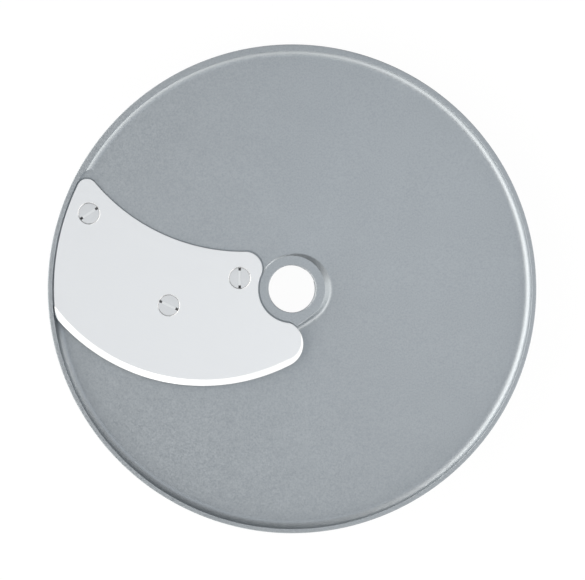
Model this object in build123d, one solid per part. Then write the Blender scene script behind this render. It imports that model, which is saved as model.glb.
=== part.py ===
"""Slicing disc of a food processor, in millimetres.

A cast disc with a raised rim, a raised collar round the shaft bore and a plate that lies low in
front of the cutting edge and climbs round to the back of the blade. A sickle blade lies in a seat
of the disc and is held by three slotted countersunk screws. The slices fall through a throat
under the blade.

The origin is on the shaft axis at the level of the lowest faces, +Z points up.
"""
import math
import os

from build123d import *

# The disc as a whole
DISC_D = 205.0
DISC_H = 16.0
RIM_WALL = 1.8
RIM_FILLET = 3.5
RIM_CHAMFER = 0.45
SKIRT_WALL = 2.6
FOOT_CHAMFER = 0.5

# Plate, high behind the blade and low in front of its edge, with a ramp between two angles
RIM_STEP = 1.0
RAMP_RISE = 3.5
PLATE_T = 4.0
RAMP_START = 306.0
RAMP_MID = 365.0
RAMP_END = 455.0

# Hub, with a collar above the plate and a boss below it
BORE_D = 19.9
BORE_CHAMFER = 0.25
COLLAR_WALL = 4.05
COLLAR_STEP = 0.4
BOSS_WALL = 8.05
UNDER_SLOPE = 3.0
DRIVE_SLOT_W = 6.0
DRIVE_SLOT_H = 6.0
DRIVE_SLOT_ANGLE = 36.0

# Wall of the collar, as its width in plan, the radius at its foot and the chamfer at its top
FAIRING_LOW = (3.0, 2.4, 0.25)
FAIRING_MID = (3.1, 2.2, 0.25)
FAIRING_HIGH = (0.9, 0.6, 0.12)
FAIRING_END = (0.9, 0.8, 0.25)
FAIRING_L = 12.0

# Blade, seen from above: the edge and the back are arcs of almost one radius, which run from two
# points near the rim to a round tip and a round heel beside the collar
BLADE_T = 1.5
BLADE_PROUD = 0.8
EDGE_R = 80.8
EDGE_OUT_ANGLE = 187.0
BACK_R = 81.2
BACK_OUT_ANGLE = 150.25
TIP_R = 9.9
TIP_REACH = 9.33
TIP_ANGLE = 257.0
TIP_CORNER_R = 4.0
HEEL_R = 7.1
HEEL_ANGLE = 156.7
UPPER_CORNER_R = 4.3
LOWER_CORNER_R = 6.0
BEVEL_W = 2.6
EDGE_LAND = 0.12

# Seat of the blade and throat, with the clearances round the blade
RIM_GAP = 0.9
SEAT_RIM_GAP = 0.8
RELIEF_GAP = 0.65
NOTCH_GAP = 0.4
SEAT_GAP = 0.35
LAND_BACK = 11.8
LAND_T = 9.3
LAND_MARGIN = 2.5
LIP_BACK = 0.6
LIP_T = 0.9
LIP_SLOPE = 4.5
LIP_END_ANGLE = 5.5
THROAT_WEB = 4.7
THROAT_CORNER_R = 3.0
RELIEF_R = 5.0
RELIEF_LEAD = 1.65
RELIEF_SPAN = 6.1
SIDE_LEAD = 9.0

# Slotted countersunk screws, M4, sunk a little under the face of the blade
END_SCREW_INSET = 8.9
END_SCREW_ANGLE = 159.7
HUB_SCREW_INSET = 8.15
HUB_SCREW_ANGLE = 168.5
MID_SCREW_INSET = 31.6
MID_SCREW_TURN = -107.0
SLOT_ANGLES = (33.0, 90.0, -25.0)
SCREW_D = 4.0
SCREW_L = 10.0
SCREW_POINT = 0.5
HEAD_D = 8.2
HEAD_EDGE = 0.1
HEAD_RIM = 0.1
HEAD_BELOW = 0.42
SLOT_W = 1.2
SLOT_DEPTH = 1.2
HOLE_GAP = 0.1
HEAD_GAP = 0.06

# Sizes that follow from the ones above
DISC_R = DISC_D / 2
RIM_R = DISC_R - RIM_WALL
FILLET_FOOT_R = RIM_R - RIM_FILLET
SKIRT_R = DISC_R - SKIRT_WALL
PLATE_HIGH = DISC_H - RIM_STEP
PLATE_LOW = PLATE_HIGH - RAMP_RISE
COLLAR_R = BORE_D / 2 + COLLAR_WALL
COLLAR_TOP = PLATE_HIGH + COLLAR_STEP
BOSS_R = BORE_D / 2 + BOSS_WALL
BLADE_TOP = PLATE_HIGH + BLADE_PROUD
SEAT_Z = BLADE_TOP - BLADE_T
BLADE_END_R = RIM_R - RIM_GAP
NOTCH_R = COLLAR_R + NOTCH_GAP
LAND_R = EDGE_R - LAND_BACK
LAND_BOTTOM = SEAT_Z - LAND_T
LIP_R = EDGE_R - LIP_BACK
THROAT_END_R = RIM_R - THROAT_WEB
RELIEF_FROM = BACK_OUT_ANGLE + RELIEF_LEAD
RELIEF_TO = RELIEF_FROM + RELIEF_SPAN
SIDE_ANGLE = EDGE_OUT_ANGLE - SIDE_LEAD

# How far the cuts reach past the solid, and how far joined shapes reach into each other
CLEAR = 3.0
OVERLAP = 1.0


def polar(radius, angle, centre=(0.0, 0.0)):
    """Point at a radius and an angle in degrees about a centre."""
    turn = math.radians(angle)
    return (centre[0] + radius * math.cos(turn), centre[1] + radius * math.sin(turn))


def toward(start, goal, distance):
    """Point at a distance from start on the line to goal."""
    length = math.hypot(goal[0] - start[0], goal[1] - start[1])
    share = distance / length
    return (start[0] + (goal[0] - start[0]) * share, start[1] + (goal[1] - start[1]) * share)


def meeting(first, d_first, second, d_second, side):
    """Point at given distances from two centres, on the left (+1) or right (-1) of first to second."""
    dx = second[0] - first[0]
    dy = second[1] - first[1]
    gap = math.hypot(dx, dy)
    along = (gap * gap + d_first * d_first - d_second * d_second) / (2 * gap)
    off = side * math.sqrt(d_first * d_first - along * along)
    return (first[0] + (along * dx - off * dy) / gap, first[1] + (along * dy + off * dx) / gap)


HUB = (0.0, 0.0)
TIP_CENTRE = polar(NOTCH_R + TIP_REACH, TIP_ANGLE)
HEEL_CENTRE = polar(NOTCH_R + HEEL_R, HEEL_ANGLE)
EDGE_OUT = polar(BLADE_END_R, EDGE_OUT_ANGLE)
BACK_OUT = polar(BLADE_END_R, BACK_OUT_ANGLE)
EDGE_CENTRE = meeting(TIP_CENTRE, EDGE_R - TIP_R, EDGE_OUT, EDGE_R, -1)
BACK_CENTRE = meeting(HEEL_CENTRE, BACK_R + HEEL_R, BACK_OUT, BACK_R, -1)
SCREW_AT = (
    polar(BLADE_END_R - END_SCREW_INSET, END_SCREW_ANGLE),
    polar(NOTCH_R + HUB_SCREW_INSET, HUB_SCREW_ANGLE),
    polar(EDGE_R - MID_SCREW_INSET, MID_SCREW_TURN, EDGE_CENTRE),
)


def arc(centre, start, end, turn):
    """Arc about a centre from start to end, counter-clockwise for turn +1, clockwise for -1."""
    radius = math.hypot(start[0] - centre[0], start[1] - centre[1])
    a_start = math.degrees(math.atan2(start[1] - centre[1], start[0] - centre[0]))
    a_end = math.degrees(math.atan2(end[1] - centre[1], end[0] - centre[0]))
    sweep_angle = ((a_end - a_start) * turn) % 360
    middle = polar(radius, a_start + turn * sweep_angle / 2, centre)
    return ThreePointArc(start, middle, end)


def blade_outline(grow, rim_grow):
    """Plan of the blade, grown by a clearance all round and by another toward the rim."""
    edge_r = EDGE_R + grow
    back_r = BACK_R - grow
    end_r = BLADE_END_R + rim_grow
    notch_r = NOTCH_R - grow
    tip_r = TIP_R + grow
    upper_r = UPPER_CORNER_R + grow
    lower_r = LOWER_CORNER_R + grow
    corner_r = TIP_CORNER_R + grow
    upper_c = meeting(HUB, end_r - upper_r, BACK_CENTRE, back_r + upper_r, 1)
    lower_c = meeting(HUB, end_r - lower_r, EDGE_CENTRE, edge_r - lower_r, 1)
    corner_c = meeting(HUB, notch_r + corner_r, TIP_CENTRE, tip_r - corner_r, 1)
    upper_out = toward(HUB, upper_c, end_r)
    lower_out = toward(HUB, lower_c, end_r)
    edge_from = toward(EDGE_CENTRE, lower_c, edge_r)
    edge_to = toward(EDGE_CENTRE, TIP_CENTRE, edge_r)
    tip_to = toward(TIP_CENTRE, corner_c, tip_r)
    notch_from = toward(HUB, corner_c, notch_r)
    notch_to = toward(HUB, HEEL_CENTRE, notch_r)
    back_from = toward(BACK_CENTRE, HEEL_CENTRE, back_r)
    back_to = toward(BACK_CENTRE, upper_c, back_r)
    return [
        arc(HUB, upper_out, lower_out, 1),
        arc(lower_c, lower_out, edge_from, 1),
        arc(EDGE_CENTRE, edge_from, edge_to, 1),
        arc(TIP_CENTRE, edge_to, tip_to, 1),
        arc(corner_c, tip_to, notch_from, 1),
        arc(HUB, notch_from, notch_to, -1),
        arc(HEEL_CENTRE, notch_to, back_from, 1),
        arc(BACK_CENTRE, back_from, back_to, -1),
        arc(upper_c, back_to, upper_out, 1),
    ]


def plan_prism(edges, bottom, top):
    """Upright prism on a closed plan."""
    return Pos(0, 0, bottom) * extrude(make_face(edges), amount=top - bottom)


def fairing_line(width, height, radius, chamfer, foot_r, base):
    """Edges of the collar wall from its chamfered top down to the plate.

    The wall leaves the chamfer and runs into an arc that ends level on the plate, at a distance
    width from the collar's edge.
    """
    wall_top = (foot_r - width, base + height - chamfer)
    arc_c = (foot_r, base + radius)
    away = math.hypot(arc_c[0] - wall_top[0], arc_c[1] - wall_top[1])
    heading = math.atan2(wall_top[1] - arc_c[1], wall_top[0] - arc_c[0])
    touch_angle = math.degrees(heading + math.acos(radius / away))
    touch = polar(radius, touch_angle, arc_c)
    return [
        Line((wall_top[0] - chamfer, base + height), wall_top),
        Line(wall_top, touch),
        arc(arc_c, touch, (foot_r, base), 1),
    ]


def top_section(plate, fairing):
    """Section of the space over the plate, from the collar wall to the rim wall."""
    width, radius, chamfer = fairing
    foot = COLLAR_R + width
    edges = fairing_line(width, COLLAR_TOP - plate, radius, chamfer, foot, plate)
    start = (COLLAR_R - chamfer, COLLAR_TOP)
    roof = plate + RIM_FILLET + CLEAR
    rim_c = (FILLET_FOOT_R, plate + RIM_FILLET)
    edges += [
        Line((foot, plate), (FILLET_FOOT_R, plate)),
        arc(rim_c, (FILLET_FOOT_R, plate), (RIM_R, rim_c[1]), 1),
        Line((RIM_R, rim_c[1]), (RIM_R, roof)),
        Line((RIM_R, roof), (start[0], roof)),
        Line((start[0], roof), start),
    ]
    return Plane.XZ * make_face(edges)


def flat_section(plate):
    """Section of the space over the flat low plate, open toward the hub."""
    inner = BORE_D / 2 - CLEAR
    roof = DISC_H + CLEAR
    rim_c = (FILLET_FOOT_R, plate + RIM_FILLET)
    edges = [
        Line((inner, plate), (FILLET_FOOT_R, plate)),
        arc(rim_c, (FILLET_FOOT_R, plate), (RIM_R, rim_c[1]), 1),
        Line((RIM_R, rim_c[1]), (RIM_R, roof)),
        Line((RIM_R, roof), (inner, roof)),
        Line((inner, roof), (inner, plate)),
    ]
    return Plane.XZ * make_face(edges)


def under_section(plate):
    """Section of the space under the plate, from the hub boss to the skirt."""
    ceiling = plate - PLATE_T
    spring = ceiling - UNDER_SLOPE
    edges = Polyline(
        (BOSS_R, -CLEAR),
        (BOSS_R, spring),
        (BOSS_R + UNDER_SLOPE, ceiling),
        (SKIRT_R - UNDER_SLOPE, ceiling),
        (SKIRT_R, spring),
        (SKIRT_R, -CLEAR),
        close=True,
    )
    return Plane.XZ * make_face(edges)


def turned(section, start, end):
    """Section revolved about the shaft axis between two angles."""
    return Rot(0, 0, start) * revolve(section, axis=Axis.Z, revolution_arc=end - start)


def climbing(section_low, section_high, start, end):
    """Ring sector whose section changes evenly from one angle to the other."""
    path = CenterArc((0, 0, 0), FILLET_FOOT_R / 2, 0, end - start)
    last = Rot(0, 0, end - start) * section_high
    return Rot(0, 0, start) * sweep([section_low, last], path=path, multisection=True)


def plate_at(angle):
    """Height of the plate's top at an angle on the ramp."""
    share = (angle - RAMP_START) / (RAMP_END - RAMP_START)
    return PLATE_LOW + share * (PLATE_HIGH - PLATE_LOW)


def land_plan():
    """Plan of the raised land behind the throat, cut off by the line that touches the collar."""
    side = 2 * DISC_D
    normal = RAMP_START
    square = Pos(*polar(COLLAR_R - side / 2, normal)) * Rot(0, 0, normal) * Rectangle(side, side)
    return (Pos(*EDGE_CENTRE) * Circle(LAND_R)) & square


def land_fairing():
    """Wall of the land along its straight side, narrowing from the collar toward the blade."""
    sections = []
    for fairing, shift in ((FAIRING_LOW, 0.0), (FAIRING_END, FAIRING_L)):
        width, radius, chamfer = fairing
        foot = COLLAR_R + width
        edges = fairing_line(width, COLLAR_TOP - PLATE_LOW, radius, chamfer, foot, PLATE_LOW)
        inner = BORE_D / 2
        base = PLATE_LOW - OVERLAP
        edges += [
            Line((foot, PLATE_LOW), (foot, base)),
            Line((foot, base), (inner, base)),
            Line((inner, base), (inner, COLLAR_TOP)),
            Line((inner, COLLAR_TOP), (COLLAR_R - chamfer, COLLAR_TOP)),
        ]
        sections.append(Pos(0, -shift, 0) * Plane.XZ * make_face(edges))
    return Rot(0, 0, RAMP_START) * loft(sections, ruled=True)


def top_spaces():
    """Everything cut away above the plate: low flat, ramp in two stretches and high flat."""
    low = turned(flat_section(PLATE_LOW), RELIEF_TO, RAMP_START)
    low -= Pos(0, 0, PLATE_LOW - OVERLAP) * extrude(land_plan(), amount=DISC_H)
    low -= land_fairing()
    section_low = top_section(PLATE_LOW, FAIRING_LOW)
    section_mid = top_section(plate_at(RAMP_MID), FAIRING_MID)
    section_high = top_section(PLATE_HIGH, FAIRING_HIGH)
    first = climbing(section_low, section_mid, RAMP_START, RAMP_MID)
    second = climbing(section_mid, section_high, RAMP_MID, RAMP_END)
    high = turned(section_high, RAMP_END, 360 + SIDE_ANGLE)
    crown = Pos(0, 0, COLLAR_TOP) * Cylinder(
        FILLET_FOOT_R, CLEAR, align=(Align.CENTER, Align.CENTER, Align.MIN)
    )
    return [low, first, second, high, crown]


def under_spaces():
    """Everything cut away below the plate, with the land of the blade left standing."""
    low = turned(under_section(PLATE_LOW), SIDE_ANGLE, RAMP_START)
    ramp = climbing(under_section(PLATE_LOW), under_section(PLATE_HIGH), RAMP_START, RAMP_END)
    high = turned(under_section(PLATE_HIGH), RAMP_END, 360 + SIDE_ANGLE)
    block = plan_prism(blade_outline(LAND_MARGIN, RIM_GAP), LAND_BOTTOM, DISC_H)
    land = block & Pos(*EDGE_CENTRE, LAND_BOTTOM) * Cylinder(
        LAND_R, DISC_H, align=(Align.CENTER, Align.CENTER, Align.MIN)
    )
    return [low - land, ramp - land, high - land]


def throat():
    """Opening under the blade that the slices fall through."""
    middle_r = (LAND_R + LIP_R) / 2
    cap_c = toward(EDGE_CENTRE, TIP_CENTRE, middle_r)
    back_in = toward(EDGE_CENTRE, TIP_CENTRE, LAND_R)
    lip_in = toward(EDGE_CENTRE, TIP_CENTRE, LIP_R)
    end = THROAT_END_R
    round_r = THROAT_CORNER_R
    lip_c = meeting(HUB, end - round_r, EDGE_CENTRE, LIP_R - round_r, 1)
    back_c = meeting(HUB, end - round_r, EDGE_CENTRE, LAND_R + round_r, 1)
    lip_out = toward(EDGE_CENTRE, lip_c, LIP_R)
    end_from = toward(HUB, lip_c, end)
    end_to = toward(HUB, back_c, end)
    back_out = toward(EDGE_CENTRE, back_c, LAND_R)
    edges = [
        arc(EDGE_CENTRE, lip_in, lip_out, -1),
        arc(lip_c, lip_out, end_from, -1),
        arc(HUB, end_from, end_to, -1),
        arc(back_c, end_to, back_out, -1),
        arc(EDGE_CENTRE, back_out, back_in, 1),
        arc(cap_c, back_in, lip_in, -1),
    ]
    return plan_prism(edges, -CLEAR, DISC_H + CLEAR)


def lip_slope():
    """Ring sector cut from under the plate's lip, so that a slice can turn down behind it."""
    floor = PLATE_LOW - PLATE_T - OVERLAP
    run = LIP_SLOPE * (PLATE_LOW - LIP_T - floor) / (PLATE_T - LIP_T)
    edges = Polyline(
        (LIP_R - OVERLAP, PLATE_LOW - LIP_T),
        (LIP_R, PLATE_LOW - LIP_T),
        (LIP_R + run, floor),
        (LIP_R - OVERLAP, floor),
        close=True,
    )
    out_c = meeting(HUB, THROAT_END_R, EDGE_CENTRE, LIP_R, 1)
    start = math.degrees(math.atan2(out_c[1] - EDGE_CENTRE[1], out_c[0] - EDGE_CENTRE[0]))
    end = math.degrees(math.atan2(TIP_CENTRE[1] - EDGE_CENTRE[1], TIP_CENTRE[0] - EDGE_CENTRE[0]))
    span = (end - start) % 360 - 2 * LIP_END_ANGLE
    ring = revolve(Plane.XZ * make_face(edges), axis=Axis.Z, revolution_arc=span)
    return Pos(*EDGE_CENTRE, 0) * Rot(0, 0, start + LIP_END_ANGLE) * ring


def blade_seat():
    """Recess of the blade, with the rim fillet milled off round a cutter beyond the outer tip."""
    seat = plan_prism(blade_outline(SEAT_GAP, SEAT_RIM_GAP), SEAT_Z, DISC_H + CLEAR)
    wall_r = BLADE_END_R + RELIEF_GAP
    inner_r = wall_r - 2 * RELIEF_R
    cutter_c = polar(wall_r - RELIEF_R, RELIEF_FROM)
    edges = [
        arc(HUB, polar(wall_r, RELIEF_FROM), polar(wall_r, RELIEF_TO), 1),
        Line(polar(wall_r, RELIEF_TO), polar(inner_r, RELIEF_TO)),
        arc(HUB, polar(inner_r, RELIEF_TO), polar(inner_r, RELIEF_FROM), -1),
        arc(cutter_c, polar(inner_r, RELIEF_FROM), polar(wall_r, RELIEF_FROM), 1),
    ]
    return [seat, plan_prism(edges, PLATE_HIGH, DISC_H + CLEAR)]


def blank():
    """Solid of revolution that the disc is cut from, bored and with its outer edges broken."""
    bore_r = BORE_D / 2
    top_r = bore_r + BORE_CHAMFER
    crown = DISC_H - COLLAR_TOP
    edges = Polyline(
        (top_r, 0),
        (DISC_R - FOOT_CHAMFER, 0),
        (DISC_R, FOOT_CHAMFER),
        (DISC_R, DISC_H - RIM_CHAMFER),
        (DISC_R - RIM_CHAMFER, DISC_H),
        (top_r + crown, DISC_H),
        (bore_r, COLLAR_TOP - BORE_CHAMFER),
        (bore_r, BORE_CHAMFER),
        close=True,
    )
    return revolve(Plane.XZ * make_face(edges), axis=Axis.Z)


def disc_body():
    """Cast body of the disc."""
    body = blank()
    for space in top_spaces() + under_spaces() + blade_seat():
        body -= space
    body -= throat()
    body -= lip_slope()
    slot = Box(3 * BOSS_R, DRIVE_SLOT_W, 2 * DRIVE_SLOT_H)
    body -= Rot(0, 0, DRIVE_SLOT_ANGLE) * (slot & Cylinder(BOSS_R + OVERLAP, 4 * DRIVE_SLOT_H))
    for x, y in SCREW_AT:
        body -= Pos(x, y, 0) * screw_hole()
    return body


def screw_hole():
    """Threaded hole with its countersink, as one space round a screw."""
    hole_r = (SCREW_D + HOLE_GAP) / 2
    sink_r = HEAD_D / 2 + HEAD_GAP + HEAD_BELOW + HEAD_RIM
    edges = Polyline(
        (0, -CLEAR),
        (hole_r, -CLEAR),
        (hole_r, BLADE_TOP - (sink_r - hole_r)),
        (sink_r, BLADE_TOP),
        (sink_r, DISC_H + CLEAR),
        (0, DISC_H + CLEAR),
        close=True,
    )
    return revolve(Plane.XZ * make_face(edges), axis=Axis.Z)


def bevel():
    """Ring ground off the top of the blade along its cutting edge."""
    low = SEAT_Z + EDGE_LAND
    far = EDGE_R + CLEAR
    slope = (BLADE_TOP - low) / BEVEL_W
    inner = EDGE_R - BEVEL_W - CLEAR / slope
    edges = Polyline(
        (inner, BLADE_TOP + CLEAR),
        (far, low - CLEAR * slope),
        (far, BLADE_TOP + CLEAR),
        close=True,
    )
    return Pos(*EDGE_CENTRE, 0) * revolve(Plane.XZ * make_face(edges), axis=Axis.Z)


def blade():
    """Sickle blade with its bevel and three countersunk holes."""
    body = plan_prism(blade_outline(0.0, 0.0), SEAT_Z, BLADE_TOP)
    body -= bevel()
    for x, y in SCREW_AT:
        body -= Pos(x, y, 0) * screw_hole()
    return body


def blade_screw(angle):
    """One slotted countersunk screw, its head a little under the face of the blade."""
    shank_r = SCREW_D / 2
    head_r = HEAD_D / 2
    top = BLADE_TOP - HEAD_BELOW
    rim_z = top - HEAD_RIM
    tip = top - SCREW_L
    edges = Polyline(
        (0, tip),
        (shank_r - SCREW_POINT, tip),
        (shank_r, tip + SCREW_POINT),
        (shank_r, rim_z - (head_r - shank_r)),
        (head_r, rim_z),
        (head_r - HEAD_EDGE, top),
        (0, top),
        close=True,
    )
    screw = revolve(Plane.XZ * make_face(edges), axis=Axis.Z)
    slot = Pos(0, 0, top) * Box(2 * HEAD_D, SLOT_W, 2 * SLOT_DEPTH)
    return screw - Rot(0, 0, angle) * slot


def blade_screws():
    """The three screws of the blade as separate solids of one group."""
    screws = []
    for (x, y), angle in zip(SCREW_AT, SLOT_ANGLES):
        screws.append(Pos(x, y, 0) * blade_screw(angle))
    return Compound(children=screws)


def main():
    """Build every piece and write it to its own file."""
    os.makedirs("parts", exist_ok=True)
    export_step(disc_body(), "parts/disc_body.step")
    export_step(blade(), "parts/blade.step")
    export_step(blade_screws(), "parts/blade_screws.step")


main()
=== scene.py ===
"""Looks of a food processor's slicing disc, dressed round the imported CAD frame.

Lengths in the classes are millimetres and angles are degrees, counter-clockwise from +X seen from
above. Meshes are written in metres, in the frame of the CAD part.
"""
import logging
import math
from dataclasses import dataclass, field
from enum import Enum
from typing import Any, Optional, Sequence

import bpy
import numpy as np
from mathutils import Matrix, Vector


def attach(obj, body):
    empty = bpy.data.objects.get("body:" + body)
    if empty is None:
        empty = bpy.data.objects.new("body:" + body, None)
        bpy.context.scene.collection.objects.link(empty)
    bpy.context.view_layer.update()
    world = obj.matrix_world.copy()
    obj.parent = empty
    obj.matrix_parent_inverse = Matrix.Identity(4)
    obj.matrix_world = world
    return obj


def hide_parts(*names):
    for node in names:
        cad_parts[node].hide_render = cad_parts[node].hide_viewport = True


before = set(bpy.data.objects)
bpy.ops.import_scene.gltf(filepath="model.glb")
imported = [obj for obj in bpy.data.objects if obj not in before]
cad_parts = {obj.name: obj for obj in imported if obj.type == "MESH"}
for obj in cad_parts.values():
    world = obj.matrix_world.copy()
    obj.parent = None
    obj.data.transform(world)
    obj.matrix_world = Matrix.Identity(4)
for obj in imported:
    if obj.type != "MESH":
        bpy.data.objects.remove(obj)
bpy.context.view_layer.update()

MM = 0.001
BODY = "root"
LOG = logging.getLogger("slicing_disc")

Point = Sequence[float] | np.ndarray
HUB: Point = (0.0, 0.0)
# Cutting solids stand this far out of the piece that they cut
CLEAR = 3.0
# Directions of the points round a rounded edge, over a quarter of a turn
QUARTER = np.linspace(0, math.pi / 2, 7)
# A face whose normal rises more than this looks up
UPWARD = 0.5
# Range that holds most values of a noise
NOISE_LOW = 0.3
NOISE_HIGH = 0.7


class Work(Enum):
    """What a tool solid does to the piece it is set against."""

    JOIN = "UNION"
    CUT = "DIFFERENCE"
    KEEP = "INTERSECT"


def polar(radius: Any, angle: Any, centre: Point = HUB) -> np.ndarray:
    """Points about a centre: the centre plus the radius times the cosine and sine of the angle.

    Args:
        radius: One radius or an array of radii.
        angle: One angle or an array of angles, in degrees.
        centre: Point that the angle turns about.

    Returns:
        Array of points with x and y on the last axis.
    """
    turn = np.radians(angle)
    x = centre[0] + radius * np.cos(turn)
    y = centre[1] + radius * np.sin(turn)
    return np.stack(np.broadcast_arrays(x, y), axis=-1)


def toward(start: Point, goal: Point, distance: float) -> np.ndarray:
    """Point on the line from start to goal, at a distance from start.

    Args:
        start: Point that the distance is measured from.
        goal: Point that gives the direction.
        distance: Length along the line.

    Returns:
        The point as x and y.
    """
    way = np.subtract(goal, start)
    return np.add(start, way * distance / np.hypot(*way))


def heading(centre: Point, point: Point) -> float:
    """Direction from a centre to a point: the arc tangent of the way between them.

    Args:
        centre: Point to look from.
        point: Point to look at.

    Returns:
        Angle in degrees.
    """
    x, y = np.subtract(point, centre)
    return math.degrees(math.atan2(y, x))


def meeting(first: Point, d_first: float, second: Point, d_second: float, side: int) -> np.ndarray:
    """Point at given distances from two centres.

    The point's share along the line of centres comes from the law of cosines, and its offset from
    that line from Pythagoras.

    Args:
        first: First centre.
        d_first: Distance from the first centre.
        second: Second centre.
        d_second: Distance from the second centre.
        side: +1 for the point left of first to second, -1 for the right one.

    Returns:
        The point as x and y.
    """
    way = np.subtract(second, first)
    gap = np.hypot(*way)
    along = (gap**2 + d_first**2 - d_second**2) / (2 * gap)
    off = side * math.sqrt(d_first**2 - along**2)
    return np.add(first, (along * way + off * np.array([-way[1], way[0]])) / gap)


def arc(centre: Point, start: Point, end: Point, turn: int, step: float = 0.5) -> np.ndarray:
    """Arc about a centre as points one step apart, without its last point.

    Args:
        centre: Centre of the arc.
        start: First point of the arc.
        end: Point where the arc stops.
        turn: +1 for counter-clockwise, -1 for clockwise.
        step: Longest way between two points.

    Returns:
        Array of points along the arc.
    """
    first = heading(centre, start)
    sweep = ((heading(centre, end) - first) * turn) % 360
    radius = float(np.hypot(*np.subtract(start, centre)))
    count = max(3, math.ceil(math.radians(sweep) * radius / step))
    share = np.arange(count) / count
    return polar(radius, first + turn * sweep * share, centre)


def bar(length: float, width: float, angle: float, centre: Point = HUB) -> np.ndarray:
    """Outline of a straight bar: the corners of a rectangle, turned by the angle about its middle.

    Args:
        length: Length of the bar.
        width: Width of the bar.
        angle: Direction of the bar in degrees.
        centre: Middle of the bar.

    Returns:
        The four corners, counter-clockwise.
    """
    corners = np.array([[1, 1], [-1, 1], [-1, -1], [1, -1]]) * np.array([length, width]) / 2
    turn = math.radians(angle)
    turned = np.array([[math.cos(turn), math.sin(turn)], [-math.sin(turn), math.cos(turn)]])
    return corners @ turned + centre


def station(radius: Any, height: Any) -> np.ndarray:
    """One point of a section that changes along its path.

    Args:
        radius: Its radii along the path, or one radius.
        height: Its heights along the path, or one height.

    Returns:
        Radii and heights, with an axis for the points of the section between path and coordinates.
    """
    return np.stack(np.broadcast_arrays(radius, height), axis=-1)[:, None]


def raised(plan: np.ndarray, heights: np.ndarray) -> np.ndarray:
    """Points in space: each point of a plan at its height.

    Args:
        plan: Points with x and y on the last axis.
        heights: Heights, repeated to fit the plan.

    Returns:
        Points with x, y and z on the last axis.
    """
    level = np.broadcast_to(heights[..., None], (*plan.shape[:-1], 1))
    return np.concatenate([plan, level], axis=-1)


def loft(name: str, rings: np.ndarray, closed: bool = False) -> bpy.types.Object:
    """Skin a row of rings with equal numbers of points.

    Point j of ring i joins point j + 1 of the same ring and both points of ring i + 1. Each ring
    closes on itself. The row of rings closes too if asked, and otherwise ends in two flat caps. The
    skin is turned so that the volume it holds counts as positive.

    Args:
        name: Name of the new object.
        rings: Array of rings, points and coordinates, in millimetres.
        closed: Whether the last ring joins the first.

    Returns:
        A closed solid, linked to the scene.
    """
    count, size = rings.shape[:2]
    index = np.arange(count * size).reshape(count, size)
    ahead = np.roll(index, -1, axis=1)
    row = np.arange(count if closed else count - 1)
    above = (row + 1) % count
    quads = np.stack([index[row], ahead[row], ahead[above], index[above]], axis=-1).reshape(-1, 4)
    points = rings.reshape(-1, 3) * MM
    a, b, c, d = (points[quads[:, k]] for k in range(4))
    volume = np.einsum("ij,ij->", a, np.cross(b, c) + np.cross(c, d))
    skin = quads.tolist()
    if not closed:
        for cap in (index[0, ::-1], index[-1]):
            corner = points[cap]
            fan = np.cross(corner[1:-1], corner[2:])
            volume += float(np.sum(fan @ corner[0]))
            skin.append(cap.tolist())
    if volume < 0:
        skin = [face[::-1] for face in skin]
    mesh = bpy.data.meshes.new(name)
    mesh.from_pydata(points, [], skin)
    mesh.update()
    piece = bpy.data.objects.new(name, mesh)
    bpy.context.scene.collection.objects.link(piece)
    return piece


def prism(name: str, outline: np.ndarray, bottom: float, top: float) -> bpy.types.Object:
    """Upright prism: the outline at a bottom and at a top height.

    Args:
        name: Name of the new object.
        outline: Plan of the prism as x and y.
        bottom: Height of the lower face.
        top: Height of the upper face.

    Returns:
        The closed prism.
    """
    plan = np.broadcast_to(outline, (2, *outline.shape))
    return loft(name, raised(plan, np.array([[bottom], [top]])))


def lathe(name: str, section: np.ndarray, centre: Point = HUB, turns: int = 96) -> bpy.types.Object:
    """Turned solid: each section point at radius r and height z runs round the centre.

    Args:
        name: Name of the new object.
        section: Radii and heights from the bottom to the top.
        centre: Place of the axis.
        turns: Number of points round the axis.

    Returns:
        The closed solid, with a flat face at each end.
    """
    angle = np.linspace(0, 360, turns, endpoint=False)
    plan = polar(section[:, :1], angle[None, :], centre)
    return loft(name, raised(plan, section[:, 1:]))


def machine(piece: bpy.types.Object, steps: Sequence[tuple[Work, bpy.types.Object]]) -> None:
    """Join tool solids to a piece, cut them from it or keep what lies in them, and freeze the result.

    Args:
        piece: Solid that is worked on.
        steps: Tool solids in working order. They are used up.
    """
    for work, tool in steps:
        step = piece.modifiers.new(work.name, "BOOLEAN")
        step.operation = work.value
        step.solver = "MANIFOLD"
        step.object = tool
    graph = bpy.context.evaluated_depsgraph_get()
    worked = bpy.data.meshes.new_from_object(piece.evaluated_get(graph))
    blank = piece.data
    piece.modifiers.clear()
    piece.data = worked
    bpy.data.meshes.remove(blank)
    for _, tool in steps:
        bpy.data.objects.remove(tool)


def smooth(piece: bpy.types.Object, crease: float) -> None:
    """Shade a piece smooth, with a sharp edge wherever two faces meet at more than the crease.

    Args:
        piece: Object with a mesh.
        crease: Angle in degrees.
    """
    piece.data.shade_smooth()
    piece.data.set_sharp_from_angle(angle=math.radians(crease))


def dress(piece: bpy.types.Object, material: bpy.types.Material, node: str) -> None:
    """Give a piece its main material and let it stand for a node of the CAD part.

    Args:
        piece: Finished piece.
        material: Material of its faces.
        node: Node of the CAD part that the piece replaces.
    """
    mesh = piece.data
    mesh.materials.clear()
    mesh.materials.append(material)
    mesh.polygons.foreach_set("material_index", np.zeros(len(mesh.polygons), dtype=np.int32))
    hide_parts(node)
    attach(piece, BODY)


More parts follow.
